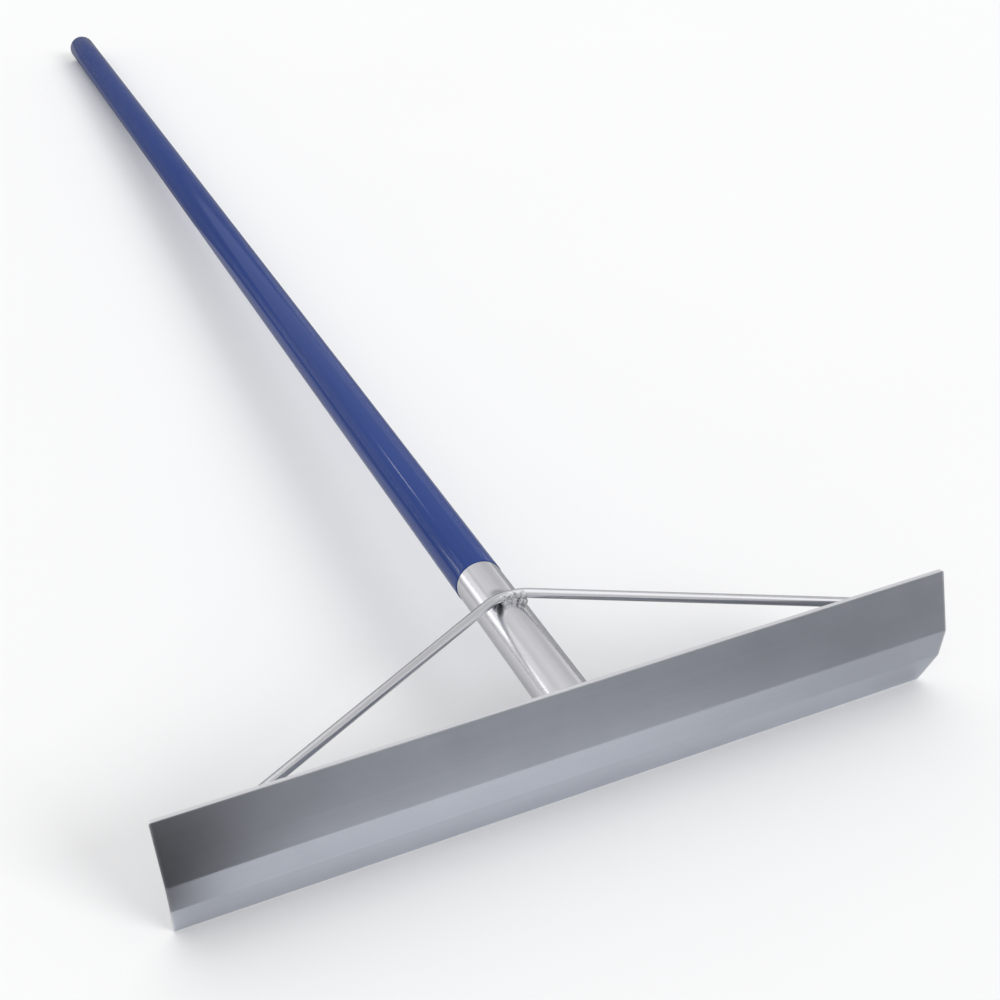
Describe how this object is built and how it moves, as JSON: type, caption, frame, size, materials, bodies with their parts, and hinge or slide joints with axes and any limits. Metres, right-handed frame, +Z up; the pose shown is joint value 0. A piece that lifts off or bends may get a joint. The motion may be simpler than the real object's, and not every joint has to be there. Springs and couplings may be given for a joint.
{
  "type": "concrete rake",
  "caption": "Long-handled concrete rake: a folded sheet blade welded across a round tube handle with a coloured coating, steadied by a bent rod brace.",
  "frame": {"origin": "centre of the bounding box at the floor that the tool lies on", "axes": "+X along the blade, to the right when looking from the blade to the handle's far end; +Y from the blade towards the handle's far end; +Z up"},
  "size_m": [0.4952, 1.686, 0.0959],
  "materials": {
    "blade_sheet": "rolled sheet, satin",
    "bare_tube": "bright drawn tube",
    "blue_coating": "semi-gloss coating",
    "black_plastic": "moulded",
    "bright_rod": "bright drawn rod",
    "weld_metal": "as welded"
  },
  "bodies": {
    "root": {"blade": "blade_sheet", "handle_tube": "bare_tube", "handle_coating": "blue_coating", "end_plug": "black_plastic", "brace_rod": "bright_rod", "foot_weld": "weld_metal", "left_saddle_weld": "weld_metal", "right_saddle_weld": "weld_metal", "left_brace_weld": "weld_metal", "right_brace_weld": "weld_metal"}
  },
  "joints": []
}
